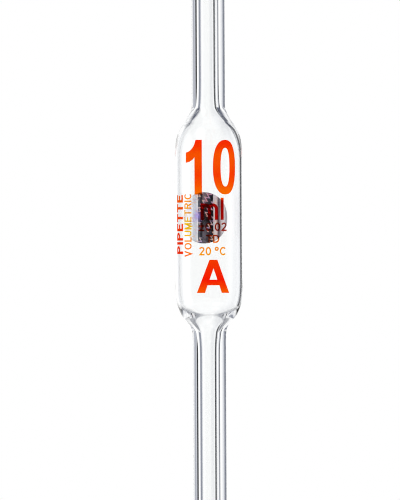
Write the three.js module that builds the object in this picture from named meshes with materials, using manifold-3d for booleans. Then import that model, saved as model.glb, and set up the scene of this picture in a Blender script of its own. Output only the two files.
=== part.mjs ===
// One-mark bulb pipette, 10 ml, class A: a drawn and flame-sealed glass tube with a cylindrical
// bulb, its fired orange marks, its calibration ring, its colour band and a round foil seal.
// Units are millimetres and +Z is up. The suction end is at the origin and the pipette hangs
// down from it. The marks face -Y and the foil seal is on the back of the bulb, towards +Y.
import * as THREE from 'three';
import { mergeVertices } from 'three/addons/utils/BufferGeometryUtils.js';
import Module from 'manifold-3d';

const wasm = await Module();
wasm.setup();

// ---- driving dimensions ----
const CAPACITY = 10000; // mm3 delivered from the calibration ring, that is 10 ml
const MOUTHPIECE_LENGTH = 90;
const SUCTION_LENGTH = 205; // with the mouthpiece
const BULB_LENGTH = 55; // from seal to seal
const DELIVERY_LENGTH = 118;
const JET_LENGTH = 28;

const STEM_R = 4.05;
const BORE_R = 1.85;
const BULB_R = 8.17;
const BULB_BORE_R = 7.6;
const JET_R = 1.45;
const JET_BORE_R = 0.45;
const SEAL_R = 4.1; // the outside at either seal, a little wider than the stem
const SEAL_BORE_R = 2.12; // the bore where it opens into the bulb at either seal

// ---- heights of the seals, measured down from the suction end ----
const TOP_SEAL = SUCTION_LENGTH;
const LOW_SEAL = TOP_SEAL + BULB_LENGTH;
const JET_START = LOW_SEAL + DELIVERY_LENGTH;
const JET_END = JET_START + JET_LENGTH;

// ---- fineness of the round forms ----
const GLASS_SIDES = 40;
const CURVE_STEPS = 8;
const SKIN_SIDES = 96;

// ---- layers on the glass ----
const SKIN_GAP = 0.03;
const STAIN_THICKNESS = 0.08;
const FOIL_THICKNESS = 0.12;

// ---- bands on the suction tube ----
const RING_WIDTH = 0.4;
const CODE_BAND_TOP = 45;
const CODE_BAND_WIDTH = 10;

// ---- foil seal, a disc stuck round the back of the bulb ----
const FOIL_DIAMETER = 12.5;
const FOIL_DEPTH = 26.7; // its centre, below the upper seal
const FOIL_ARC = -1.24; // its centre, along the arc from the back, towards -X

const glass = new THREE.MeshStandardMaterial({ color: 0xe9f2f1, roughness: 0.05, metalness: 0 });
const stain = new THREE.MeshStandardMaterial({ color: 0xff4a08, roughness: 0.35, metalness: 0 });
const redStain = new THREE.MeshStandardMaterial({ color: 0xd2200f, roughness: 0.35, metalness: 0 });
const foil = new THREE.MeshStandardMaterial({ color: 0x9ea3b0, roughness: 0.25, metalness: 1 });

const pipette = new THREE.Group();

function addNode(name, geometry, material) {
  const mesh = new THREE.Mesh(geometry, material);
  mesh.name = name;
  pipette.add(mesh);
}

// ---- curves of the wall, as points (radius, depth below the suction end) ----
function curve(points, steps = CURVE_STEPS) {
  const [a, b, c, d] = points.map(([r, depth]) => new THREE.Vector2(r, depth));
  return new THREE.CubicBezierCurve(a, b, c, d).getPoints(steps).map((p) => [p.x, p.y]);
}

// The outside of the bulb. Each shoulder leaves the stem gently and has no edge anywhere.
function bulbOutside() {
  const top = TOP_SEAL;
  const upperStart = curve([
    [SEAL_R, top],
    [SEAL_R + 0.13, top + 0.75],
    [SEAL_R + 0.44, top + 1.39],
    [SEAL_R + 1.03, top + 2.39],
  ], 5);
  const upper = curve([
    [SEAL_R + 1.03, top + 2.39],
    [BULB_R - 1.26, top + 5.4],
    [BULB_R, top + 5.93],
    [BULB_R, top + 12.2],
  ], 10);
  const lower = curve([
    [BULB_R, top + 43.2],
    [BULB_R, top + 52.6],
    [SEAL_R + 0.05, top + 50.8],
    [SEAL_R, top + BULB_LENGTH],
  ], 14);
  return [...upperStart, ...upper.slice(1), ...lower];
}

// The chamber inside the bulb. Its wall is thin in the body and thick at both shoulders.
function bulbInside() {
  const top = TOP_SEAL;
  const funnel = curve([
    [SEAL_BORE_R, top],
    [SEAL_BORE_R + 0.23, top + 1],
    [SEAL_BORE_R + 1.17, top + 2.14],
    [BULB_BORE_R - 3.08, top + 3.74],
  ], 6);
  const upper = curve([
    [BULB_BORE_R - 3.08, top + 3.74],
    [BULB_BORE_R - 2.04, top + 5.09],
    [BULB_BORE_R, top + 6.68],
    [BULB_BORE_R, top + 13],
  ], 9);
  const corner = curve([
    [BULB_BORE_R, top + 41],
    [BULB_BORE_R, top + 48.2],
    [BULB_BORE_R - 1.07, top + 48.99],
    [BULB_BORE_R - 2.58, top + 50.29],
  ], 10);
  const throat = curve([
    [BULB_BORE_R - 2.58, top + 50.29],
    [SEAL_BORE_R + 1.46, top + 51.53],
    [SEAL_BORE_R + 0.23, top + 52.7],
    [SEAL_BORE_R, top + BULB_LENGTH],
  ], 6);
  return [...funnel, ...upper.slice(1), ...corner, ...throat.slice(1)];
}

// The mouthpiece: a fire-polished rim and a straight tube that a filler is pushed on to.
function mouthpieceOutside() {
  return [
    [STEM_R - 0.55, 0],
    [STEM_R - 0.16, 0.16],
    [STEM_R, 0.55],
    [STEM_R, MOUTHPIECE_LENGTH],
  ];
}

function mouthpieceInside() {
  return [
    [BORE_R + 0.3, 0],
    [BORE_R + 0.08, 0.1],
    [BORE_R, 0.35],
    [BORE_R, MOUTHPIECE_LENGTH],
  ];
}

// The suction tube: it carries on from the mouthpiece and widens a little into the upper seal.
function suctionOutside() {
  const end = curve([
    [STEM_R, TOP_SEAL - 1],
    [STEM_R, TOP_SEAL - 0.7],
    [SEAL_R - 0.03, TOP_SEAL - 0.25],
    [SEAL_R, TOP_SEAL],
  ], 3);
  return [[STEM_R, MOUTHPIECE_LENGTH], ...end];
}

function suctionInside() {
  const end = curve([
    [BORE_R, TOP_SEAL - 6],
    [BORE_R + 0.04, TOP_SEAL - 3],
    [SEAL_BORE_R - 0.18, TOP_SEAL - 1],
    [SEAL_BORE_R, TOP_SEAL],
  ], 5);
  return [[BORE_R, MOUTHPIECE_LENGTH], ...end];
}

// The delivery tube: the same stem again, below the lower seal.
function deliveryOutside() {
  const start = curve([
    [SEAL_R, LOW_SEAL],
    [SEAL_R - 0.03, LOW_SEAL + 0.6],
    [STEM_R, LOW_SEAL + 1],
    [STEM_R, LOW_SEAL + 1.6],
  ], 3);
  return [...start, [STEM_R, JET_START]];
}

function deliveryInside() {
  const start = curve([
    [SEAL_BORE_R, LOW_SEAL],
    [SEAL_BORE_R - 0.15, LOW_SEAL + 1.6],
    [BORE_R + 0.02, LOW_SEAL + 2.6],
    [BORE_R, LOW_SEAL + 5],
  ], 5);
  return [...start, [BORE_R, JET_START]];
}

// The jet is the same tube drawn down to a fine orifice and ground flat at the end.
function jetOutside() {
  return curve([
    [STEM_R, JET_START],
    [STEM_R, JET_START + 9],
    [JET_R + 0.6, JET_END - 12],
    [JET_R, JET_END],
  ]);
}

function jetInside() {
  return curve([
    [BORE_R, JET_START],
    [BORE_R, JET_START + 9],
    [JET_BORE_R + 0.5, JET_END - 13],
    [JET_BORE_R, JET_END],
  ]);
}

// ---- the calibration ring stands where the bore below it holds the capacity ----
function volumeOf(points) {
  let volume = 0;
  for (let i = 1; i < points.length; i += 1) {
    const [r0, d0] = points[i - 1];
    const [r1, d1] = points[i];
    volume += (Math.PI / 3) * (d1 - d0) * (r0 * r0 + r0 * r1 + r1 * r1);
  }
  return volume;
}

function calibrationDepth() {
  const below = volumeOf(bulbInside()) + volumeOf(deliveryInside()) + volumeOf(jetInside());
  return TOP_SEAL - (CAPACITY - below) / (Math.PI * BORE_R * BORE_R);
}

// ---- closed bodies of revolution ----
function turned(outside, inside, sides = GLASS_SIDES) {
  const ring = [...outside, ...[...inside].reverse()];
  ring.push(ring[0]);
  const profile = ring.map(([r, depth]) => new THREE.Vector2(r, -depth)).reverse();
  const geometry = new THREE.LatheGeometry(profile, sides);
  geometry.rotateX(Math.PI / 2);
  return geometry;
}

function sleeve(innerR, thickness, topDepth, height, sides = GLASS_SIDES) {
  const outside = [
    [innerR + thickness, topDepth],
    [innerR + thickness, topDepth + height],
  ];
  const inside = [
    [innerR, topDepth],
    [innerR, topDepth + height],
  ];
  return turned(outside, inside, sides);
}

// ---- joining and cutting ----
function toSolid(geometry) {
  const bare = geometry.clone();
  bare.deleteAttribute('normal');
  bare.deleteAttribute('uv');
  const merged = mergeVertices(bare, 1e-4);
  return new wasm.Manifold(
    new wasm.Mesh({
      numProp: 3,
      vertProperties: new Float32Array(merged.attributes.position.array),
      triVerts: new Uint32Array(merged.index.array),
    }),
  );
}

function toGeometry(solid) {
  const mesh = solid.getMesh();
  const geometry = new THREE.BufferGeometry();
  geometry.setAttribute('position', new THREE.BufferAttribute(mesh.vertProperties, 3));
  geometry.setIndex(new THREE.BufferAttribute(mesh.triVerts, 1));
  geometry.computeVertexNormals();
  return geometry;
}

// ---- flat artwork, wrapped on the bulb ----
// Artwork is drawn in a sheet: s runs along the bulb's arc, in the reader's left-to-right
// direction, and h runs up from the upper seal (so it is negative on the bulb).
// side is -1 for the front of the bulb (-Y) and +1 for its back.
function prism(path, side) {
  const depth = 2 * BULB_R;
  const shape = new THREE.Shape(path.getPoints());
  const geometry = new THREE.ExtrudeGeometry(shape, { depth, bevelEnabled: false });
  const place = geometry.attributes.position;
  for (let i = 0; i < place.count; i += 1) {
    const x = BULB_R * Math.sin(place.getX(i) / BULB_R);
    const z = place.getY(i) - TOP_SEAL;
    const y = side < 0 ? place.getZ(i) - depth : depth - place.getZ(i);
    place.setXYZ(i, x, y, z);
  }
  if (side < 0) {
    flipFaces(geometry);
  }
  return toSolid(geometry);
}

// A shape's holes are cut out of its prism one by one.
function cutPrism(shape, side) {
  const cuts = shape.holes.map((hole) => prism(hole, side));
  return cuts.reduce((solid, cut) => solid.subtract(cut), prism(shape, side));
}

function flipFaces(geometry) {
  const place = geometry.attributes.position;
  for (let i = 0; i < place.count; i += 3) {
    const [x, y, z] = [place.getX(i), place.getY(i), place.getZ(i)];
    place.setXYZ(i, place.getX(i + 1), place.getY(i + 1), place.getZ(i + 1));
    place.setXYZ(i + 1, x, y, z);
  }
}

const skins = new Map();

function skin(thickness) {
  if (!skins.has(thickness)) {
    const margin = 2;
    const height = BULB_LENGTH + 2 * margin;
    const shell = sleeve(BULB_R + SKIN_GAP, thickness, TOP_SEAL - margin, height, SKIN_SIDES);
    skins.set(thickness, toSolid(shell));
  }
  return skins.get(thickness);
}

function wrapped(shapes, side, thickness) {
  const whole = shapes.map((shape) => cutPrism(shape, side)).reduce((a, b) => a.add(b));
  return toGeometry(whole.intersect(skin(thickness)));
}

// ---- strokes: a pen line of constant width, open or closed ----
function offsetLine(line, distance, closed) {
  const count = line.length;
  return line.map(([x, y], i) => {
    const before = line[closed ? (i + count - 1) % count : Math.max(i - 1, 0)];
    const after = line[closed ? (i + 1) % count : Math.min(i + 1, count - 1)];
    const into = new THREE.Vector2(x - before[0], y - before[1]);
    const out = new THREE.Vector2(after[0] - x, after[1] - y);
    const first = into.lengthSq() > 0 ? into.normalize() : out.clone().normalize();
    const second = out.lengthSq() > 0 ? out.normalize() : first;
    const along = first.clone().add(second).normalize();
    const mitre = distance / Math.max(along.dot(first), 0.3);
    return new THREE.Vector2(x - along.y * mitre, y + along.x * mitre);
  });
}

function strokeShape(line, width, closed = false) {
  const left = offsetLine(line, width / 2, closed);
  const right = offsetLine(line, -width / 2, closed);
  if (!closed) {
    return new THREE.Shape([...left, ...right.reverse()]);
  }
  const leftIsOuter = Math.abs(THREE.ShapeUtils.area(left)) > Math.abs(THREE.ShapeUtils.area(right));
  const shape = new THREE.Shape(leftIsOuter ? left : right);
  shape.holes.push(new THREE.Path(leftIsOuter ? right : left));
  return shape;
}

// Points on an elliptic arc, with angles in degrees, counter-clockwise from +s.
function arc(cx, cy, rx, ry, from, to, steps = 8) {
  const points = [];
  for (let i = 0; i <= steps; i += 1) {
    const angle = THREE.MathUtils.degToRad(from + ((to - from) * i) / steps);
    points.push([cx + rx * Math.cos(angle), cy + ry * Math.sin(angle)]);
  }
  return points;
}

function ellipse(cx, cy, rx, ry, steps = 20) {
  return arc(cx, cy, rx, ry, 0, 360, steps).slice(0, -1);
}

// ---- pen letters, drawn in a cell one unit high; w is the cell's width, p the pen's half width ----
const penLetters = {
  0: (w, p) => [{ line: ellipse(w / 2, 0.5, w / 2 - p, 0.5 - p), closed: true }],
  2: (w, p) => [
    {
      line: [
        ...arc(w / 2, 0.71, w / 2 - p, 0.29 - p, 170, -35, 10),
        [p * 1.4, p],
        [w, p],
      ],
    },
  ],
  plusMinus: (w, p) => [
    { line: [[0, 0.6], [w, 0.6]] },
    { line: [[w / 2, 0.94], [w / 2, p]] },
    { line: [[0, p], [w, p]] },
  ],
  point: (w) => [{ line: [[0, w / 2], [w, w / 2]], width: w }],
  degree: (w, p) => [{ line: ellipse(w / 2, 1.02 - w / 2, w / 2 - p, w / 2 - p, 14), closed: true }],
  C: (w, p) => [{ line: arc(w / 2, 0.5, w / 2 - p, 0.5 - p, 42, 318, 16) }],
  D: (w, p) => [
    {
      line: [[p, 1 - p], ...arc(w * 0.42, 0.5, w * 0.58 - p, 0.5 - p, 90, -90, 10), [p, p]],
      closed: true,
    },
  ],
  E: (w, p) => [
    { line: [[w, 1 - p], [p, 1 - p], [p, p], [w, p]] },
    { line: [[p, 0.52], [w * 0.9, 0.52]] },
  ],
  I: (w, p) => [{ line: [[p, 0], [p, 1]] }],
  L: (w, p) => [{ line: [[p, 1], [p, p], [w, p]] }],
  M: (w, p) => [
    { line: [[p, 0], [p, 1]] },
    { line: [[w - p, 0], [w - p, 1]] },
    { line: [[p, 0.97], [w / 2, 0.06], [w - p, 0.97]] },
  ],
  O: (w, p) => [{ line: ellipse(w / 2, 0.5, w / 2 - p, 0.5 - p), closed: true }],
  P: (w, p) => [
    { line: [[p, 0], [p, 1]] },
    { line: [[p, 1 - p], ...arc(w * 0.6, 0.72, w * 0.4 - p, 0.28 - p, 90, -90), [p, 0.44 + p]] },
  ],
  R: (w, p) => [
    { line: [[p, 0], [p, 1]] },
    { line: [[p, 1 - p], ...arc(w * 0.6, 0.73, w * 0.4 - p, 0.27 - p, 90, -90), [p, 0.46 + p]] },
    { line: [[w * 0.5, 0.48 + p], [w - p, 0]] },
  ],
  T: (w, p) => [
    { line: [[w / 2, 0], [w / 2, 1]] },
    { line: [[0, 1 - p], [w, 1 - p]] },
  ],
  U: (w, p) => [
    { line: [[p, 1], ...arc(w / 2, 0.34, w / 2 - p, 0.34 - p, 180, 360), [w - p, 1]] },
  ],
  V: (w, p) => [{ line: [[p, 1], [w / 2, 0.06], [w - p, 1]] }],
};

// A letter's width over its height, and the gap between letters.
const letterWidths = {
  0: 0.66,
  2: 0.66,
  plusMinus: 0.7,
  point: 0.15,
  degree: 0.5,
  space: 0.1,
  C: 0.86,
  D: 0.82,
  E: 0.7,
  I: 0.15,
  L: 0.6,
  M: 0.88,
  O: 0.92,
  P: 0.74,
  R: 0.78,
  T: 0.78,
  U: 0.76,
  V: 0.84,
};
const LETTER_GAP = 0.12;

// A row of pen letters, narrowed to the row's length.
// place turns a point along and above the row into a point of the sheet.
function penRow({ name, letters, height, pen, length, place }) {
  const halfPen = pen / height / 2;
  const natural = letters.reduce((sum, letter) => sum + letterWidths[letter], 0);
  const narrowing = (length / height - LETTER_GAP * (letters.length - 1)) / natural;
  let start = 0;
  letters.forEach((letter, index) => {
    const cell = Math.max(letterWidths[letter] * narrowing, 2 * halfPen);
    if (letter !== 'space') {
      const shapes = penLetters[letter](cell, halfPen).map(({ line, closed, width }) => {
        const placed = line.map(([x, y]) => place((start + x) * height, y * height));
        return strokeShape(placed, width ? width * height : pen, closed);
      });
      addNode(`${name}_${index + 1}_${letter}`, wrapped(shapes, -1, STAIN_THICKNESS), stain);
    }
    start += cell + LETTER_GAP;
  });
}

// ---- the large figures and letters, drawn in full ----
const PRINT_ARC = 0.91; // the print's centre line, along the arc from the front, towards +X

function outline(points) {
  return new THREE.Shape(points.map(([x, y]) => new THREE.Vector2(x, y)));
}

function figureOne(left, base, height) {
  const stemWidth = 1.9;
  const right = left + 4.4;
  const stemLeft = right - stemWidth;
  const top = base + height;
  return outline([
    [stemLeft, base],
    [right, base],
    [right, top],
    [right - 1.5, top],
    ...arc(left - 0.1, top + 0.6, 2.9, 3.6, -12, -70, 6),
    [left, top - 3.05],
    [left, top - 5.5],
    ...arc(left - 0.2, top - 1.9, 3.6, 3.6, -80, -47, 5),
    [stemLeft, top - 4.2],
  ]);
}

function figureZero(centre, base, width, height) {
  const stroke = 1.93;
  const shape = outline(superEllipse(centre, base + height / 2, width / 2, height / 2));
  const innerRx = width / 2 - stroke;
  const innerRy = height / 2 - stroke;
  shape.holes.push(new THREE.Path(
    superEllipse(centre, base + height / 2, innerRx, innerRy).map(([x, y]) => new THREE.Vector2(x, y)),
  ));
  return shape;
}

function superEllipse(cx, cy, rx, ry, steps = 28, power = 2.35) {
  const points = [];
  for (let i = 0; i < steps; i += 1) {
    const angle = (2 * Math.PI * i) / steps;
    const [c, s] = [Math.cos(angle), Math.sin(angle)];
    const x = Math.sign(c) * Math.abs(c) ** (2 / power);
    const y = Math.sign(s) * Math.abs(s) ** (2 / power);
    points.push([cx + rx * x, cy + ry * y]);
  }
  return points;
}

function letterA(centre, base, width, height) {
  const [top, foot, bar, barBottom] = [1.93, 2.05, 1.35, 1.85];
  const leg = (y) => (width / 2) - ((width - top) / 2) * (y / height);
  const shape = outline([
    [centre - width / 2, base],
    [centre - width / 2 + foot, base],
    [centre - leg(barBottom) + foot - 0.12, base + barBottom],
    [centre + leg(barBottom) - foot + 0.12, base + barBottom],
    [centre + width / 2 - foot, base],
    [centre + width / 2, base],
    [centre + top / 2, base + height],
    [centre - top / 2, base + height],
  ]);
  const innerHalf = leg(barBottom + bar) - foot + 0.15;
  shape.holes.push(new THREE.Path([
    new THREE.Vector2(centre - innerHalf, base + barBottom + bar),
    new THREE.Vector2(centre, base + height - 2.1),
    new THREE.Vector2(centre + innerHalf, base + barBottom + bar),
  ]));
  return shape;
}

function letterM(left, base, width, height, pen) {
  const p = pen / 2;
  const arch = (width - 3 * pen) / 2 + pen;
  const hump = (from) => [
    ...arc(from + arch / 2, base + height - 1.35, arch / 2, 1.35 - p, 180, 0),
    [from + arch, base],
  ];
  return [
    strokeShape([[left + p, base], [left + p, base + height]], pen),
    strokeShape(hump(left + p), pen),
    strokeShape(hump(left + p + arch), pen),
  ];
}

function addLargeMarks() {
  const figureHeight = 13.2;
  const figureBase = -21.2;
  const one = figureOne(PRINT_ARC - 6.95, figureBase, figureHeight);
  const zero = figureZero(PRINT_ARC + 3.25, figureBase, 6.3, figureHeight);
  addNode('mark_10_figure_1', wrapped([one], -1, STAIN_THICKNESS), stain);
  addNode('mark_10_figure_0', wrapped([zero], -1, STAIN_THICKNESS), stain);

  const unitPen = 0.8;
  const unitBase = -27.3;
  const letters = letterM(PRINT_ARC - 2.95, unitBase, 4.3, 4.0, unitPen);
  const ell = strokeShape([[PRINT_ARC + 2.4, unitBase], [PRINT_ARC + 2.4, unitBase + 5.35]], unitPen);
  addNode('mark_unit_m', wrapped(letters, -1, STAIN_THICKNESS), stain);
  addNode('mark_unit_l', wrapped([ell], -1, STAIN_THICKNESS), stain);

  const classA = letterA(PRINT_ARC + 0.15, -44.9, 8.2, 8.0);
  addNode('mark_class_A', wrapped([classA], -1, STAIN_THICKNESS), stain);
}

// Rows that read across the bulb, centred on the print's centre line.
function addCrossRows() {
  const rows = [
    {
      name: 'mark_tolerance',
      letters: ['plusMinus', '0', 'point', '0', '2'],
      length: 7.1,
      height: 2.05,
      base: -30.0,
    },
    {
      name: 'mark_delivery',
      letters: ['T', 'D'],
      length: 3.3,
      height: 1.95,
      base: -32.85,
    },
    {
      name: 'mark_temperature',
      letters: ['2', '0', 'space', 'degree', 'C'],
      length: 6.7,
      height: 2.05,
      base: -35.85,
    },
  ];
  for (const { base, length, ...row } of rows) {
    const place = (along, above) => [PRINT_ARC - length / 2 + along, base + above];
    penRow({ ...row, pen: 0.35, length, place });
  }
}

// Rows that read upwards at the left of the print.
function addUpwardRows() {
  const rows = [
    {
      name: 'mark_word',
      letters: [...'PIPETTE'],
      length: 14.0,
      height: 2.9,
      pen: 0.62,
      baseline: -7.09,
      start: -35.5,
    },
    {
      name: 'mark_kind',
      letters: [...'VOLUMETRIC'],
      length: 15.3,
      height: 2.2,
      pen: 0.35,
      baseline: -4.39,
      start: -36.2,
    },
  ];
  for (const { baseline, start, ...row } of rows) {
    const place = (along, above) => [baseline - above, start + along];
    penRow({ ...row, place });
  }
}

function addGlass() {
  addNode('suction_mouthpiece', turned(mouthpieceOutside(), mouthpieceInside()), glass);
  addNode('suction_tube', turned(suctionOutside(), suctionInside()), glass);
  addNode('bulb', turned(bulbOutside(), bulbInside()), glass);
  addNode('delivery_tube', turned(deliveryOutside(), deliveryInside()), glass);
  addNode('delivery_jet', turned(jetOutside(), jetInside()), glass);
}

function addBands() {
  const innerR = STEM_R + SKIN_GAP;
  const ringTop = calibrationDepth() - RING_WIDTH / 2;
  addNode('calibration_ring', sleeve(innerR, STAIN_THICKNESS, ringTop, RING_WIDTH), stain);
  addNode('colour_code_band', sleeve(innerR, STAIN_THICKNESS, CODE_BAND_TOP, CODE_BAND_WIDTH), redStain);
}

function addFoilSeal() {
  const disc = ellipse(FOIL_ARC, -FOIL_DEPTH, FOIL_DIAMETER / 2, FOIL_DIAMETER / 2, 48);
  addNode('foil_seal', wrapped([outline(disc)], 1, FOIL_THICKNESS), foil);
}

addGlass();
addBands();
addFoilSeal();
addLargeMarks();
addCrossRows();
addUpwardRows();

export default pipette;
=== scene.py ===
# A one-mark 10 ml bulb pipette in clear glass, in a pale studio.
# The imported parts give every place. The glass is turned again here with fine, smooth
# curves, the bands and the foil seal get finer bodies, and the fired marks stay as packed.
# Metres, +Z up. The pipette hangs down from the origin and its marks face -Y.
import math

import bmesh
import bpy
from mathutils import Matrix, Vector, noise


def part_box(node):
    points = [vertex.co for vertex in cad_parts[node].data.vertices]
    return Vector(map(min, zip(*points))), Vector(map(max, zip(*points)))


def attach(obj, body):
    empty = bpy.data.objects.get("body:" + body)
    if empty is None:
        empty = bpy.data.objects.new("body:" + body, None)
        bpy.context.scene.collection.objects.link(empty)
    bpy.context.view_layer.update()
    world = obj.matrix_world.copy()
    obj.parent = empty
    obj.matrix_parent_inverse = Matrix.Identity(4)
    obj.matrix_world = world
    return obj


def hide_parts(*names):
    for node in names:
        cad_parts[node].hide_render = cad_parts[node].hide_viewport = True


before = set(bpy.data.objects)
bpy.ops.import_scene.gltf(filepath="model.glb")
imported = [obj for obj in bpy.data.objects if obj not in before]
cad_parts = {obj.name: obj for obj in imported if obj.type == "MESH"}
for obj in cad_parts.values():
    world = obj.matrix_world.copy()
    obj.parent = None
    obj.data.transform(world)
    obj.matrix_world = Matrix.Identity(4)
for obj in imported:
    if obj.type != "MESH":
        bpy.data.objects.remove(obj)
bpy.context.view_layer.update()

MM = 0.001

# ---- places and radii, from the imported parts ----
STEM_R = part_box("suction_mouthpiece")[1].x
BULB_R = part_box("bulb")[1].x
RIM_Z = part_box("suction_mouthpiece")[1].z
SUCTION_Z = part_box("suction_tube")[1].z
TOP_SEAL_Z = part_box("bulb")[1].z
LOW_SEAL_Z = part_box("bulb")[0].z
JET_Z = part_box("delivery_jet")[1].z
TIP_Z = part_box("delivery_jet")[0].z

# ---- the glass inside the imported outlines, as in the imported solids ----
BORE_R = 1.85 * MM
BULB_BORE_R = 7.6 * MM
JET_R = 1.45 * MM
JET_BORE_R = 0.45 * MM
SEAL_R = 4.1 * MM
SEAL_BORE_R = 2.12 * MM

GLASS_IOR = 1.473
LIGHT_BOUNCES = 48  # light goes round inside the thick glass many times before it leaves
PIXEL_FILTER = 1.1  # keeps the fine lines in the glass sharp
ROUND_SIDES = 160
BAND_SIDES = 128

# ---- the camera's frame, level with the bulb and turned a little about the view axis ----
FRAME_HEIGHT = 121.2 * MM
FRAME_CENTRE = Vector((-2.17 * MM, 0.0, TOP_SEAL_Z - 34.54 * MM))
CAMERA_DISTANCE = 1.2
LEAN = math.radians(0.25)
SENSOR = 36.0


# ---------------------------------------------------------------- small helpers
def srgb(r, g, b, a=1.0):
    """A colour given as 0-255 display values, as the linear values that shaders take."""
    def lin(v):
        v = v / 255.0
        return v / 12.92 if v <= 0.04045 else ((v + 0.055) / 1.055) ** 2.4
    return (lin(r), lin(g), lin(b), a)


def grey(v):
    return srgb(v, v, v)


WHITE = (1, 1, 1, 1)
BLACK = (0, 0, 0, 1)


class Tree:
    """A short way to write a node tree: tree.add(type, inputs, **settings) returns the node."""

    def __init__(self, owner):
        owner.use_nodes = True
        self.tree = owner.node_tree
        self.tree.nodes.clear()

    def add(self, kind, inputs=None, **settings):
        node = self.tree.nodes.new(kind)
        for key, value in settings.items():
            setattr(node, key, value)
        for key, value in (inputs or {}).items():
            self.feed(node.inputs[key], value)
        return node

    def feed(self, socket, value):
        if isinstance(value, bpy.types.NodeSocket):
            self.tree.links.new(value, socket)
        elif isinstance(value, bpy.types.Node):
            self.tree.links.new(value.outputs[0], socket)
        else:
            socket.default_value = value

    def math(self, operation, *values):
        node = self.add("ShaderNodeMath", operation=operation)
        for socket, value in zip(node.inputs, values):
            self.feed(socket, value)
        return node.outputs[0]

    def ramp(self, factor, stops, interpolation="LINEAR"):
        node = self.add("ShaderNodeValToRGB", {0: factor})
        band = node.color_ramp
        band.interpolation = interpolation
        while len(band.elements) < len(stops):
            band.elements.new(0.5)
        for element, (place, colour) in zip(band.elements, stops):
            element.position = place
            element.color = colour
        return node.outputs[0]

    def mix(self, factor, a, b, blend="MIX"):
        node = self.add("ShaderNodeMix", data_type="RGBA", blend_type=blend)
        self.feed(node.inputs[0], factor)
        self.feed(node.inputs[6], a)
        self.feed(node.inputs[7], b)
        return node.outputs[2]


def new_material(name):
    material = bpy.data.materials.new(name)
    tree = Tree(material)
    return material, tree, tree.add("ShaderNodeOutputMaterial")


# ---------------------------------------------------------------- turned bodies
def curve(points, steps=24):
    """Points along a cubic curve through (radius, height) control points."""
    a, b, c, d = [Vector(p) for p in points]
    out = []
    for i in range(steps + 1):
        t = i / steps
        s = 1 - t
        out.append(a * s**3 + b * 3 * s * s * t + c * 3 * s * t * t + d * t**3)
    return out


def line(a, b, steps=1):
    a, b = Vector(a), Vector(b)
    return [a.lerp(b, i / steps) for i in range(steps + 1)]


def chain(*runs):
    """Joins runs of points, dropping the points they share."""
    out = []
    for run in runs:
        for point in run:
            if not out or (point - out[-1]).length > 1e-7:
                out.append(point)
    return out


def profile_normals(points):
    """The outward normal at each point of a profile whose solid lies on its left."""
    normals = []
    for i, point in enumerate(points):
        before = points[max(i - 1, 0)]
        after = points[min(i + 1, len(points) - 1)]
        into = (point - before).normalized() if point != before else Vector((0, 0))
        out = (after - point).normalized() if point != after else Vector((0, 0))
        along = (into + out).normalized()
        normals.append(Vector((along.y, -along.x)))
    return normals


def turned_mesh(name, runs, sides):
    """Turns runs of (point, normal) about Z. Each run is one strip, open or closed."""
    verts, faces, normals = [], [], []
    for run in runs:
        start = len(verts)
        for (radius, height), (nr, nz) in run:
            for k in range(sides):
                angle = 2 * math.pi * k / sides
                c, s = math.cos(angle), math.sin(angle)
                verts.append((radius * c, radius * s, height))
                normals.append((nr * c, nr * s, nz))
        for i in range(len(run) - 1):
            for k in range(sides):
                a = start + i * sides + k
                b = start + i * sides + (k + 1) % sides
                faces.append((a, b, b + sides, a + sides))
    mesh = bpy.data.meshes.new(name)
    mesh.from_pydata(verts, [], faces)
    mesh.polygons.foreach_set("use_smooth", [True] * len(mesh.polygons))
    mesh.normals_split_custom_set_from_vertices(normals)
    mesh.update()
    return mesh


def add_piece(name, mesh, material, replaced):
    piece = bpy.data.objects.new(name, mesh)
    bpy.context.scene.collection.objects.link(piece)
    piece.data.materials.append(material)
    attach(piece, "root")
    if replaced:
        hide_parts(*replaced)
    return piece


# ---------------------------------------------------------------- the glass
def down(seal_z, depth):
    return seal_z - depth * MM


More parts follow.
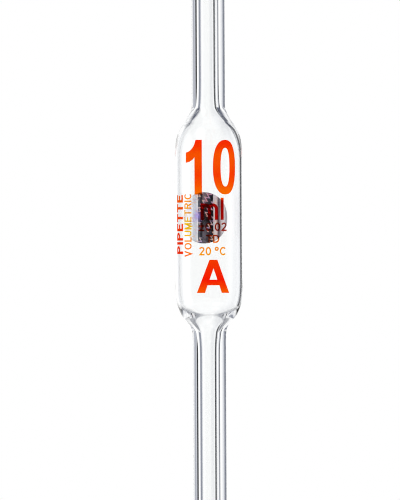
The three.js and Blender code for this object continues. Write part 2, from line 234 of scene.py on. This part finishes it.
def outside_profile():
    """The whole outside, from the jet's tip up to the rim."""
    top = TOP_SEAL_Z
    low = LOW_SEAL_Z
    jet = curve([
        (JET_R, TIP_Z),
        (JET_R + 0.6 * MM, TIP_Z + 12 * MM),
        (STEM_R, JET_Z - 9 * MM),
        (STEM_R, JET_Z),
    ], 48)
    delivery = line((STEM_R, JET_Z), (STEM_R, low - 1.6 * MM), 12)
    low_end = curve([
        (STEM_R, low - 1.6 * MM),
        (STEM_R, low - 1.0 * MM),
        (SEAL_R - 0.03 * MM, low - 0.6 * MM),
        (SEAL_R, low),
    ], 10)
    lower = curve([
        (SEAL_R, low),
        (SEAL_R + 0.05 * MM, down(top, 50.8)),
        (BULB_R, down(top, 52.6)),
        (BULB_R, down(top, 43.2)),
    ], 90)
    body = line((BULB_R, down(top, 43.2)), (BULB_R, down(top, 12.2)), 8)
    upper = curve([
        (BULB_R, down(top, 12.2)),
        (BULB_R, down(top, 5.93)),
        (BULB_R - 1.26 * MM, down(top, 5.4)),
        (SEAL_R + 1.03 * MM, down(top, 2.39)),
    ], 64)
    upper_end = curve([
        (SEAL_R + 1.03 * MM, down(top, 2.39)),
        (SEAL_R + 0.44 * MM, down(top, 1.39)),
        (SEAL_R + 0.13 * MM, down(top, 0.75)),
        (SEAL_R, top),
    ], 24)
    seal = curve([
        (SEAL_R, top),
        (SEAL_R - 0.03 * MM, top + 0.25 * MM),
        (STEM_R, top + 0.7 * MM),
        (STEM_R, top + 1.0 * MM),
    ], 10)
    stem = line((STEM_R, top + 1.0 * MM), (STEM_R, SUCTION_Z), 12)
    mouth = line((STEM_R, SUCTION_Z), (STEM_R, RIM_Z - 0.55 * MM), 12)
    rim = curve([
        (STEM_R, RIM_Z - 0.55 * MM),
        (STEM_R, RIM_Z - 0.2 * MM),
        (STEM_R - 0.15 * MM, RIM_Z),
        (STEM_R - 0.6 * MM, RIM_Z),
    ], 10)
    return chain(jet, delivery, low_end, lower, body, upper, upper_end, seal, stem, mouth, rim)


def inside_profile():
    """The whole bore, from the rim down to the jet's tip."""
    top = TOP_SEAL_Z
    low = LOW_SEAL_Z
    wall = BULB_BORE_R
    rim = curve([
        (BORE_R + 0.35 * MM, RIM_Z),
        (BORE_R + 0.1 * MM, RIM_Z),
        (BORE_R, RIM_Z - 0.15 * MM),
        (BORE_R, RIM_Z - 0.4 * MM),
    ], 8)
    mouth = line((BORE_R, RIM_Z - 0.4 * MM), (BORE_R, SUCTION_Z), 12)
    stem = line((BORE_R, SUCTION_Z), (BORE_R, top + 6 * MM), 12)
    bell = curve([
        (BORE_R, top + 6 * MM),
        (BORE_R + 0.04 * MM, top + 3 * MM),
        (SEAL_BORE_R - 0.18 * MM, top + 1 * MM),
        (SEAL_BORE_R, top),
    ], 32)
    funnel = curve([
        (SEAL_BORE_R, top),
        (SEAL_BORE_R + 0.23 * MM, down(top, 1)),
        (SEAL_BORE_R + 1.17 * MM, down(top, 2.14)),
        (wall - 3.08 * MM, down(top, 3.74)),
    ], 36)
    upper = curve([
        (wall - 3.08 * MM, down(top, 3.74)),
        (wall - 2.04 * MM, down(top, 5.09)),
        (wall, down(top, 6.68)),
        (wall, down(top, 13)),
    ], 56)
    body = line((wall, down(top, 13)), (wall, down(top, 41)), 8)
    corner = curve([
        (wall, down(top, 41)),
        (wall, down(top, 48.2)),
        (wall - 1.07 * MM, down(top, 48.99)),
        (wall - 2.58 * MM, down(top, 50.29)),
    ], 64)
    throat = curve([
        (wall - 2.58 * MM, down(top, 50.29)),
        (SEAL_BORE_R + 1.46 * MM, down(top, 51.53)),
        (SEAL_BORE_R + 0.23 * MM, down(top, 52.7)),
        (SEAL_BORE_R, low),
    ], 40)
    neck = curve([
        (SEAL_BORE_R, low),
        (SEAL_BORE_R - 0.15 * MM, low - 1.6 * MM),
        (BORE_R + 0.02 * MM, low - 2.6 * MM),
        (BORE_R, low - 5 * MM),
    ], 32)
    delivery = line((BORE_R, low - 5 * MM), (BORE_R, JET_Z), 12)
    jet = curve([
        (BORE_R, JET_Z),
        (BORE_R, JET_Z - 9 * MM),
        (JET_BORE_R + 0.5 * MM, TIP_Z + 13 * MM),
        (JET_BORE_R, TIP_Z),
    ], 48)
    runs = [rim, mouth, stem, bell, funnel, upper, body, corner, throat, neck, delivery, jet]
    return chain(*runs)


def between(points, normals, low_z, high_z):
    """The run of (point, normal) pairs that lies between two heights."""
    edge = 1e-7
    return [
        (tuple(p), tuple(n))
        for p, n in zip(points, normals)
        if low_z - edge <= p.y <= high_z + edge
    ]


def build_glass(material):
    """Each length of glass is its own piece. Neighbours share their end rings, as one glass."""
    outside = outside_profile()
    inside = inside_profile()
    out_n = profile_normals(outside)
    in_n = profile_normals(inside)
    lengths = [
        ("mouthpiece_glass", "suction_mouthpiece", SUCTION_Z, RIM_Z),
        ("suction_tube_glass", "suction_tube", TOP_SEAL_Z, SUCTION_Z),
        ("bulb_glass", "bulb", LOW_SEAL_Z, TOP_SEAL_Z),
        ("delivery_tube_glass", "delivery_tube", JET_Z, LOW_SEAL_Z),
        ("jet_glass", "delivery_jet", TIP_Z, JET_Z),
    ]
    for name, node, low_z, high_z in lengths:
        outer = between(outside, out_n, low_z, high_z)
        inner = between(inside, in_n, low_z, high_z)
        if high_z == RIM_Z:
            runs = [outer + inner]
        elif low_z == TIP_Z:
            runs = [inner + outer]
        else:
            runs = [outer, inner]
        mesh = turned_mesh(name, runs, ROUND_SIDES)
        add_piece(name, mesh, material, [node])


def glass_material():
    material, tree, out = new_material("clear_borosilicate")
    place = tree.add("ShaderNodeTexCoord").outputs["Object"]
    drawn = tree.add("ShaderNodeMapping", {"Vector": place, "Scale": (160, 160, 12)})
    cords = tree.add("ShaderNodeTexNoise", {"Vector": drawn.outputs[0], "Scale": 1.0, "Detail": 2.0})
    tint = tree.mix(cords.outputs[0], (0.985, 0.995, 0.993, 1), (0.998, 1.0, 1.0, 1))
    shader = tree.add("ShaderNodeBsdfPrincipled", {
        "Base Color": tint,
        "Roughness": 0.0,
        "IOR": GLASS_IOR,
        "Transmission Weight": 1.0,
    })
    tree.feed(out.inputs[0], shader)
    return material


# ---------------------------------------------------------------- fired stain
STAIN_MOTTLE = 0.14  # how far the mottle shifts the colour, as a share of the mark's height


def stain_material(name, heights, opaque=0.12):
    """A translucent stain: light from behind takes its colour, and a share of it is pigment."""
    material, tree, out = new_material(name)
    place = tree.add("ShaderNodeTexCoord").outputs["Object"]
    height = tree.add("ShaderNodeSeparateXYZ", {0: place}).outputs[2]
    low, high = heights[0][0], heights[-1][0]
    along = tree.math("DIVIDE", tree.math("SUBTRACT", height, low), high - low)
    mottle = tree.add("ShaderNodeTexNoise", {"Vector": place, "Scale": 900.0, "Detail": 3.0})
    swing = tree.math("MULTIPLY", tree.math("SUBTRACT", mottle.outputs[0], 0.5), STAIN_MOTTLE)
    factor = tree.math("ADD", along, swing)
    stops = [((z - low) / (high - low), colour) for z, colour in heights]
    colour = tree.ramp(factor, stops)
    through = tree.add("ShaderNodeBsdfTransparent", {"Color": colour})
    pigment = tree.add("ShaderNodeBsdfPrincipled", {
        "Base Color": colour,
        "Roughness": 0.5,
        "IOR": 1.5,
        "Specular IOR Level": 0.1,
    })
    stained = tree.add("ShaderNodeMixShader", {0: opaque})
    tree.feed(stained.inputs[1], through)
    tree.feed(stained.inputs[2], pigment)
    clear = tree.add("ShaderNodeBsdfTransparent")
    back = tree.add("ShaderNodeNewGeometry").outputs["Backfacing"]
    sided = tree.add("ShaderNodeMixShader", {0: back})
    tree.feed(sided.inputs[1], stained)
    tree.feed(sided.inputs[2], clear)
    tree.feed(out.inputs[0], sided)
    return material


def unit_stain_and_shade():
    """The unit stands in front of the foil: its stain is painted dark red there, as painted shade of
    the dark foil behind it.
    """
    top = TOP_SEAL_Z
    return stain_material("stain_unit_painted_shade", [
        (down(top, 27.3), srgb(206, 6, 2)),
        (down(top, 22.6), srgb(190, 8, 2)),
        (down(top, 22.1), srgb(255, 80, 0)),
    ])


def paint_marks():
    """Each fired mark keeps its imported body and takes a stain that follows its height."""
    top = TOP_SEAL_Z
    figures = stain_material("stain_figures", [
        (down(top, 21.2), srgb(255, 114, 0)),
        (down(top, 18.5), srgb(255, 82, 0)),
        (down(top, 16.4), srgb(255, 62, 0)),
        (down(top, 13.9), srgb(255, 82, 0)),
        (down(top, 11.5), srgb(255, 84, 0)),
        (down(top, 9.1), srgb(255, 50, 0)),
        (down(top, 8), srgb(255, 44, 0)),
    ])
    letter_a = stain_material("stain_class_letter", [
        (down(top, 44.9), srgb(255, 96, 0)),
        (down(top, 43.4), srgb(255, 64, 0)),
        (down(top, 41.8), srgb(254, 24, 2)),
        (down(top, 39.9), srgb(253, 40, 2)),
        (down(top, 36.9), srgb(254, 60, 0)),
    ])
    fine = stain_material("stain_fine_rows", [
        (down(top, 36), srgb(255, 168, 0)),
        (down(top, 32.8), srgb(250, 132, 0)),
        (down(top, 31), srgb(186, 44, 4)),
        (down(top, 27), srgb(176, 34, 4)),
    ], 0.1)
    bold = stain_material("stain_bold_word", [
        (down(top, 35.5), srgb(255, 56, 0)),
        (down(top, 28), srgb(255, 70, 0)),
        (down(top, 21.5), srgb(255, 108, 0)),
    ])
    # Orange stain, painted yellow across its middle rows: a painted highlight of the pale foil shining
    # through it.
    amber = stain_material("stain_amber_word_painted_glint", [
        (down(top, 36.2), srgb(255, 112, 0)),
        (down(top, 32.5), srgb(252, 150, 0)),
        (down(top, 30.4), srgb(252, 206, 10)),
        (down(top, 27.6), srgb(250, 200, 20)),
        (down(top, 25), srgb(250, 176, 10)),
        (down(top, 20.9), srgb(255, 140, 0)),
    ], 0.1)
    by_prefix = {
        "mark_10": figures,
        "mark_unit": unit_stain_and_shade(),
        "mark_class": letter_a,
        "mark_tolerance": fine,
        "mark_delivery": fine,
        "mark_temperature": fine,
        "mark_word": bold,
        "mark_kind": amber,
    }
    for name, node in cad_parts.items():
        for prefix, material in by_prefix.items():
            if name.startswith(prefix):
                node.data.materials.clear()
                node.data.materials.append(material)


# ---------------------------------------------------------------- bands on the stem
BAND_GAP = 0.009 * MM  # between the stem and its enamel
BAND_EDGE = 0.06 * MM  # how far the enamel's edges are rounded


def band_mesh(name, node):
    """A thin enamel sleeve with rounded edges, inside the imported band's box."""
    low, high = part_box(node)
    inner, outer = STEM_R + BAND_GAP, high.x
    top, bottom = high.z, low.z
    edge = min(BAND_EDGE, (top - bottom) * 0.2)
    loop = chain(
        line((inner, bottom), (inner, top)),
        curve([(inner, top), (outer - edge, top), (outer, top), (outer, top - edge)], 6),
        line((outer, top - edge), (outer, bottom + edge), 2),
        curve([(outer, bottom + edge), (outer, bottom), (outer - edge, bottom), (inner, bottom)], 6),
    )
    points = (loop[:-1] + [loop[0]])[::-1]
    normals = profile_normals(points)
    run = [(tuple(p), tuple(n)) for p, n in zip(points, normals)]
    return turned_mesh(name, [run], BAND_SIDES)


def enamel_material(name, colour, opaque):
    material, tree, out = new_material(name)
    place = tree.add("ShaderNodeTexCoord").outputs["Object"]
    mottle = tree.add("ShaderNodeTexNoise", {"Vector": place, "Scale": 1500.0, "Detail": 4.0})
    deep = tuple(c * 0.72 for c in colour[:3]) + (1,)
    shade = tree.mix(mottle.outputs[0], deep, colour)
    bump = tree.add("ShaderNodeBump", {
        "Strength": 0.2,
        "Distance": 0.02 * MM,
        "Height": mottle.outputs[0],
    })
    pigment = tree.add("ShaderNodeBsdfPrincipled", {
        "Base Color": shade,
        "Roughness": 0.3,
        "IOR": 1.5,
        "Normal": bump.outputs[0],
    })
    through = tree.add("ShaderNodeBsdfTransparent", {"Color": shade})
    stained = tree.add("ShaderNodeMixShader", {0: opaque})
    tree.feed(stained.inputs[1], through)
    tree.feed(stained.inputs[2], pigment)
    tree.feed(out.inputs[0], stained)
    return material


def build_bands():
    ring = enamel_material("stain_ring", srgb(250, 70, 10), 0.5)
    add_piece("calibration_ring_stain", band_mesh("ring", "calibration_ring"), ring,
              ["calibration_ring"])
    red = enamel_material("red_enamel", srgb(214, 32, 18), 0.8)
    add_piece("colour_code_enamel", band_mesh("band", "colour_code_band"), red,
              ["colour_code_band"])


# ---------------------------------------------------------------- the foil seal
FOIL_R = 6.25 * MM
FOIL_ARC = -1.24 * MM
FOIL_GAP = 0.02 * MM  # between the bulb and the film
FOIL_MARGIN = 0.005 * MM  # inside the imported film's box
FOIL_RINGS = 28
FOIL_SECTORS = 96
FOIL_WRINKLE = 0.04 * MM  # the height of a wrinkle in either face
FOIL_SKIN = 0.05 * MM  # room kept over the outer face for its wrinkles
WRINKLES_PER_METRE = 900


def foil_mesh():
    """The round film wrapped on the back of the bulb, a thin closed body with fine wrinkles."""
    low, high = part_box("foil_seal")
    centre_z = (low.z + high.z) / 2
    outer_r = high.y - FOIL_MARGIN
    inner_r = BULB_R + FOIL_GAP
    mesh = bpy.data.meshes.new("foil")
    grid = bmesh.new()

    def wrap(s, h, radius):
        angle = s / BULB_R
        return Vector((radius * math.sin(angle), radius * math.cos(angle), h))

    def crinkle(s, h):
        p = Vector((s * WRINKLES_PER_METRE, h * WRINKLES_PER_METRE, 3.1))
        return 0.5 + 0.5 * noise.noise(p)

    layers = []
    for base in (inner_r, outer_r - FOIL_SKIN):
        rings = []
        for i in range(FOIL_RINGS + 1):
            radius = FOIL_R * i / FOIL_RINGS
            count = 1 if i == 0 else FOIL_SECTORS
            ring = []
            for k in range(count):
                turn = 2 * math.pi * k / FOIL_SECTORS
                s = FOIL_ARC + radius * math.cos(turn)
                h = centre_z + radius * math.sin(turn)
                ring.append(grid.verts.new(wrap(s, h, base + FOIL_WRINKLE * crinkle(s, h))))
            rings.append(ring)
        layers.append(rings)

    def skin(rings, flip):
        for k in range(FOIL_SECTORS):
            n = (k + 1) % FOIL_SECTORS
            tri = [rings[0][0], rings[1][k], rings[1][n]]
            grid.faces.new(tri[::-1] if flip else tri)
            for i in range(1, FOIL_RINGS):
                quad = [rings[i][k], rings[i + 1][k], rings[i + 1][n], rings[i][n]]
                grid.faces.new(quad[::-1] if flip else quad)

    skin(layers[0], False)
    skin(layers[1], True)
    for k in range(FOIL_SECTORS):
        n = (k + 1) % FOIL_SECTORS
        a, b = layers[0][FOIL_RINGS], layers[1][FOIL_RINGS]
        grid.faces.new([a[k], b[k], b[n], a[n]])
    bmesh.ops.recalc_face_normals(grid, faces=grid.faces)
    grid.to_mesh(mesh)
    grid.free()
    mesh.polygons.foreach_set("use_smooth", [True] * len(mesh.polygons))
    return mesh


# Painted reflections of the room on the film: its tones across its width, as (mm from the axis,
# display colour).
FILM_REFLECTION_TONES = [
    (-6.6, (255, 255, 255)), (-4.35, (255, 255, 255)), (-4.0, (238, 242, 248)),
    (-3.5, (226, 228, 238)), (-3.15, (234, 234, 242)), (-2.93, (254, 254, 255)),
    (-2.83, (250, 250, 252)), (-2.72, (52, 55, 66)), (-2.45, (120, 124, 140)),
    (-2.15, (84, 84, 96)), (-1.85, (44, 42, 52)), (-1.4, (146, 138, 152)),
    (-0.85, (134, 130, 144)), (-0.3, (80, 82, 96)), (0.2, (64, 68, 84)),
    (0.6, (46, 50, 68)), (0.8, (22, 22, 42)), (1.06, (16, 16, 36)), (1.14, (216, 220, 230)),
    (1.9, (236, 236, 242)), (2.2, (176, 166, 178)), (2.5, (84, 78, 92)), (2.66, (96, 90, 104)),
    (2.9, (164, 168, 176)), (3.3, (216, 226, 232)), (4.0, (232, 236, 240)),
    (4.35, (176, 174, 184)), (4.9, (210, 204, 212)),
]
# The dark middle of the painted reflection: where it starts, is full, is still full and ends, across
# in mm.
FILM_MIDDLE = (-2.6, -2.1, 1.08, 1.14)
FILM_WAVER = 0.35  # mm, how far the bands waver
FILM_LEFT = FILM_REFLECTION_TONES[0][0]
FILM_SPAN = FILM_REFLECTION_TONES[-1][0] - FILM_LEFT
# How much the painted dark reflection in the middle is dimmed, by depth under the upper seal in mm.
FILM_DEPTHS = [
    (20.2, 235), (22.6, 225), (23.6, 84), (27.0, 80), (28.4, 140), (30.6, 200), (33.1, 178),
]


def film_coords(tree):
    place = tree.add("ShaderNodeTexCoord").outputs["Object"]
    axes = tree.add("ShaderNodeSeparateXYZ", {0: place})
    x_mm = tree.math("MULTIPLY", axes.outputs[0], 1000.0)
    depth = tree.math("MULTIPLY", tree.math("SUBTRACT", TOP_SEAL_Z, axes.outputs[2]), 1000.0)
    return place, x_mm, depth


def across_film(x_mm):
    """A place across the film, from 0 at its left to 1 at its right."""
    return (x_mm - FILM_LEFT) / FILM_SPAN


def across_film_node(tree, x_mm):
    return tree.math("DIVIDE", tree.math("SUBTRACT", x_mm, FILM_LEFT), FILM_SPAN)


def film_painted_reflections(tree, place, x_mm, depth):
    """Painted reflections of the room: upright dark and pale bands, dimmer in the middle of the film.
    """
    warp = tree.add("ShaderNodeTexNoise", {"Vector": place, "Scale": 420.0, "Detail": 2.0})
    swing = tree.math("MULTIPLY", tree.math("SUBTRACT", warp.outputs[0], 0.5), FILM_WAVER)
    wavy = tree.math("ADD", x_mm, swing)
    span = across_film_node(tree, wavy)
    bands = tree.ramp(span, [(across_film(x), srgb(*c)) for x, c in FILM_REFLECTION_TONES])
    first, last = FILM_DEPTHS[0][0], FILM_DEPTHS[-1][0]
    along = tree.math("DIVIDE", tree.math("SUBTRACT", depth, first), last - first)
    dim = tree.ramp(along, [((d - first) / (last - first), grey(v)) for d, v in FILM_DEPTHS])
    edges = [across_film(x) for x in FILM_MIDDLE]
    middle = tree.ramp(span, list(zip(edges, (BLACK, WHITE, WHITE, BLACK))))
    shade = tree.mix(middle, WHITE, dim)
    return tree.mix(1.0, bands, shade, "MULTIPLY")


THREAD_RISE = math.radians(56)  # the rows of zigzag thread climb to the right
THREAD_ROW = 2.15  # mm between rows
THREAD_HALF_STEP = 0.5  # mm, half of a zigzag's length
THREAD_SLOPE = 2.2  # across the row, for each mm along it
THREAD_HALF_WIDTH = (0.07, 0.16)  # mm, from full to nothing
THREAD_END = (1.45, 2.6)  # mm across the film, from full to nothing
THREAD_COVER = 0.85  # how much of the film's tone a thread hides


def film_threads(tree, place, x_mm, depth):
    """Fine zigzag threads in slanting rows, a security pattern without any lettering."""
    c, s = math.cos(THREAD_RISE), math.sin(THREAD_RISE)
    along = tree.math("SUBTRACT", tree.math("MULTIPLY", x_mm, c), tree.math("MULTIPLY", depth, s))
    across = tree.math("ADD", tree.math("MULTIPLY", x_mm, -s), tree.math("MULTIPLY", depth, -c))
    row = tree.math("FRACT", tree.math("DIVIDE", across, THREAD_ROW))
    offset = tree.math("MULTIPLY", tree.math("SUBTRACT", row, 0.5), THREAD_ROW)
    swing = tree.math("SUBTRACT", tree.math("PINGPONG", along, THREAD_HALF_STEP), THREAD_HALF_STEP / 2)
    zigzag = tree.math("MULTIPLY", swing, THREAD_SLOPE)
    gap = tree.math("ABSOLUTE", tree.math("SUBTRACT", offset, zigzag))
    near = tree.math("DIVIDE", gap, math.sqrt(1 + THREAD_SLOPE ** 2))
    thread = tree.add("ShaderNodeMapRange", {
        "Value": near, "From Min": THREAD_HALF_WIDTH[0], "From Max": THREAD_HALF_WIDTH[1],
        "To Min": THREAD_COVER, "To Max": 0.0,
    }).outputs[0]
    wear = tree.add("ShaderNodeTexNoise", {"Vector": place, "Scale": 380.0, "Detail": 1.0})
    whole = tree.ramp(wear.outputs[0], [(0.4, BLACK), (0.5, WHITE)])
    left = tree.ramp(across_film_node(tree, x_mm), [
        (across_film(THREAD_END[0]), WHITE),
        (across_film(THREAD_END[1]), BLACK),
    ])
    return tree.math("MULTIPLY", tree.math("MULTIPLY", thread, whole), left)


GLOW_PLACE = (-2.95, 26.2)  # mm across the film, and below the upper seal
GLOW_SHARPNESS = (1.2, 0.9)  # per mm, across and down
GLOW_STRENGTH = 0.7
# Painted glow: the film's left edge gives off light of its own, as emission, so that it stands white.
PAINTED_EDGE_GLOW = (0.3, 0.3, 0.3, 1)  # added brightness where the film turns away at its left
PAINTED_EDGE_GLOW_END = (-4.415, -4.0125)  # mm across the film, from full to nothing


def film_glow(tree, x_mm, depth):
    """A soft round spot of violet on the film."""
    squares = []
    for value, middle, sharpness in zip((x_mm, depth), GLOW_PLACE, GLOW_SHARPNESS):
        offset = tree.math("SUBTRACT", value, middle)
        squares.append(tree.math("POWER", tree.math("MULTIPLY", offset, sharpness), 2.0))
    fall = tree.math("EXPONENT", tree.math("MULTIPLY", tree.math("ADD", *squares), -1.0))
    return tree.math("MULTIPLY", fall, GLOW_STRENGTH)


def foil_material():
    """Metallised diffraction film: painted reflections of the room as upright dark and pale bands,
    under a fine thread pattern.
    """
    material, tree, out = new_material("diffraction_foil")
    place, x_mm, depth = film_coords(tree)
    bands = film_painted_reflections(tree, place, x_mm, depth)
    drift = tree.add("ShaderNodeTexNoise", {"Vector": place, "Scale": 700.0, "Detail": 1.0})
    thread_colour = tree.ramp(drift.outputs[0], [
        (0.3, srgb(245, 190, 180)), (0.45, srgb(240, 214, 190)), (0.55, srgb(205, 190, 240)),
        (0.7, srgb(250, 170, 175)),
    ])
    threads = film_threads(tree, place, x_mm, depth)
    colour = tree.mix(threads, bands, thread_colour)
    colour = tree.mix(film_glow(tree, x_mm, depth), colour, srgb(178, 150, 255))
    # painted glow: emission on the film's left edge
    painted_edge_glow = tree.ramp(across_film_node(tree, x_mm), [
        (across_film(PAINTED_EDGE_GLOW_END[0]), PAINTED_EDGE_GLOW),
        (across_film(PAINTED_EDGE_GLOW_END[1]), BLACK),
    ])
    metal = tree.add("ShaderNodeBsdfPrincipled", {
        "Base Color": colour,
        "Metallic": 1.0,
        "Roughness": 0.3,
        "Emission Color": WHITE,
        "Emission Strength": painted_edge_glow,
    })
    tree.feed(out.inputs[0], metal)
    return material


# ---------------------------------------------------------------- studio
# Brightness round the pipette, by bearing in degrees from +Y towards +X (display values).
BEARINGS = [
    (-90, 205), (-84, 240), (-79, 220), (-75, 150), (-71, 125), (-67, 150), (-62, 160), (-57, 90),
    (-54, 110), (-51, 170), (-47, 185), (-43, 214), (-39, 238), (-35, 238), (-33, 255), (2, 255),
    (5, 246), (12, 240), (15, 250), (20, 250), (21, 0), (36, 0), (37, 190), (39, 215),
    (43, 185), (46, 165), (50, 200), (54, 215), (59, 250), (80, 255), (86, 240), (90, 205),
]


ROOM_POWER = 1.1  # the room's brightness on the glass; the background itself is plain white
END_TONE = 100  # display value of the room's dim ends, high and low
END_STARTS, END_FULL = 0.37, 0.63  # sine of the elevation where they start and are full
NEARSIDE_STARTS, NEARSIDE_FULL = 0.2, 0.5  # towards -Y, for mirror reflections of that side
VEIL_TONE = (0.05, 0.05, 0.05, 1)  # what the outer glass mirrors of the near side
FOIL_CROSSINGS = 7.0  # light from the foil has gone through more faces of glass than this


def cool(v):
    """A grey of the room, a little bluer where it is dark."""
    r, g, b, a = grey(v)
    return (r ** 1.1, g ** 1.05, b ** 0.9, a)


def build_world():
    """A pale room with darker stands round it, and dim at its ends, high and low.

    Mirror reflections of the side towards -Y are dim on the glass and white on the foil.
    """
    world = bpy.data.worlds.new("studio")
    bpy.context.scene.world = world
    tree = Tree(world)
    out = tree.add("ShaderNodeOutputWorld")
    way = tree.add("ShaderNodeSeparateXYZ", {0: tree.add("ShaderNodeTexCoord").outputs["Generated"]})
    bearing = tree.math("ARCTAN2", way.outputs[0], way.outputs[1])
    half_turns = tree.math("FRACT", tree.math("ADD", tree.math("DIVIDE", bearing, math.pi), 0.5))
    room = tree.ramp(half_turns, [((b + 90) / 180, cool(v)) for b, v in BEARINGS])
    steep = tree.math("ABSOLUTE", way.outputs[2])
    ends = tree.ramp(steep, [(END_STARTS, BLACK), (END_FULL, WHITE)])
    light = tree.mix(ends, room, cool(END_TONE))
    path = tree.add("ShaderNodeLightPath")
    mirrored = tree.math("GREATER_THAN", path.outputs["Glossy Depth"], 0.5)
    shallow = tree.math("LESS_THAN", path.outputs["Transmission Depth"], FOIL_CROSSINGS)
    deep = tree.math("SUBTRACT", 1.0, shallow)
    nearside = tree.ramp(tree.math("MULTIPLY", way.outputs[1], -1.0), [
        (NEARSIDE_STARTS, BLACK), (NEARSIDE_FULL, WHITE),
    ])
    veil = tree.math("MULTIPLY", tree.math("MULTIPLY", mirrored, shallow), nearside)
    on_foil = tree.math("MULTIPLY", tree.math("MULTIPLY", mirrored, deep), nearside)
    lit = tree.mix(on_foil, tree.mix(veil, light, VEIL_TONE), WHITE)
    camera_ray = path.outputs["Is Camera Ray"]
    shown = tree.mix(camera_ray, lit, WHITE)
    power = tree.math("SUBTRACT", ROOM_POWER, tree.math("MULTIPLY", camera_ray, ROOM_POWER - 1))
    back = tree.add("ShaderNodeBackground", {"Color": shown, "Strength": power})
    tree.feed(out.inputs[0], back)


FLOOR_R = 0.42
FLOOR_FADE = (0.26, 0.42)  # the floor turns into the white of the room between these radii
FLOOR_COLOUR = (0.93, 0.93, 0.93, 1)
FLOOR_GAP = 0.4 * MM  # under the jet


def build_floor():
    """A plain pale disc under the jet, which turns into white towards its rim."""
    mesh = bpy.data.meshes.new("floor")
    disc = bmesh.new()
    bmesh.ops.create_circle(disc, cap_ends=True, segments=96, radius=FLOOR_R)
    disc.to_mesh(mesh)
    disc.free()
    floor = bpy.data.objects.new("floor", mesh)
    bpy.context.scene.collection.objects.link(floor)
    floor.location.z = TIP_Z - FLOOR_GAP
    material, tree, out = new_material("pale_floor")
    shader = tree.add("ShaderNodeBsdfPrincipled", {
        "Base Color": FLOOR_COLOUR,
        "Roughness": 0.8,
    })
    place = tree.add("ShaderNodeTexCoord").outputs["Object"]
    radius = tree.add("ShaderNodeVectorMath", {0: place}, operation="LENGTH").outputs["Value"]
    rim = tree.add("ShaderNodeMapRange", {
        "Value": radius, "From Min": FLOOR_FADE[0], "From Max": FLOOR_FADE[1],
    }, interpolation_type="SMOOTHSTEP")
    white = tree.add("ShaderNodeEmission", {"Color": WHITE, "Strength": 1.0})
    fading = tree.add("ShaderNodeMixShader", {0: rim.outputs[0]})
    tree.feed(fading.inputs[1], shader)
    tree.feed(fading.inputs[2], white)
    tree.feed(out.inputs[0], fading)
    mesh.materials.append(material)


def build_lamps():
    """Two large, faint round lamps: their place and size in metres, and their power in watts."""
    lamps = [
        ("key", (-0.7, -0.9, 0.9), 0.9, 3.0),
        ("overhead", (0.2, 0.1, 1.2), 1.2, 3.0),
    ]
    for name, place, size, power in lamps:
        data = bpy.data.lights.new(name, "AREA")
        data.shape = "DISK"
        data.size = size
        data.energy = power
        lamp = bpy.data.objects.new(name, data)
        bpy.context.scene.collection.objects.link(lamp)
        lamp.location = place
        aim = Vector((0, 0, TOP_SEAL_Z)) - Vector(place)
        lamp.rotation_euler = aim.to_track_quat("-Z", "Y").to_euler()


def build_camera():
    data = bpy.data.cameras.new("camera")
    data.sensor_width = SENSOR
    data.lens = CAMERA_DISTANCE * SENSOR / FRAME_HEIGHT
    data.clip_start = 0.05
    data.clip_end = 50
    camera = bpy.data.objects.new("camera", data)
    bpy.context.scene.collection.objects.link(camera)
    camera.location = FRAME_CENTRE - Vector((0, CAMERA_DISTANCE, 0))
    camera.rotation_euler = (math.radians(90), LEAN, 0)
    bpy.context.scene.camera = camera


bpy.context.scene.view_settings.view_transform = "Standard"
for kind in ("max_bounces", "transmission_bounces", "glossy_bounces", "transparent_max_bounces"):
    setattr(bpy.context.scene.cycles, kind, LIGHT_BOUNCES)
bpy.context.scene.cycles.filter_width = PIXEL_FILTER
build_glass(glass_material())
paint_marks()
build_bands()
add_piece("foil_seal_film", foil_mesh(), foil_material(), ["foil_seal"])
build_world()
build_floor()
build_lamps()
build_camera()
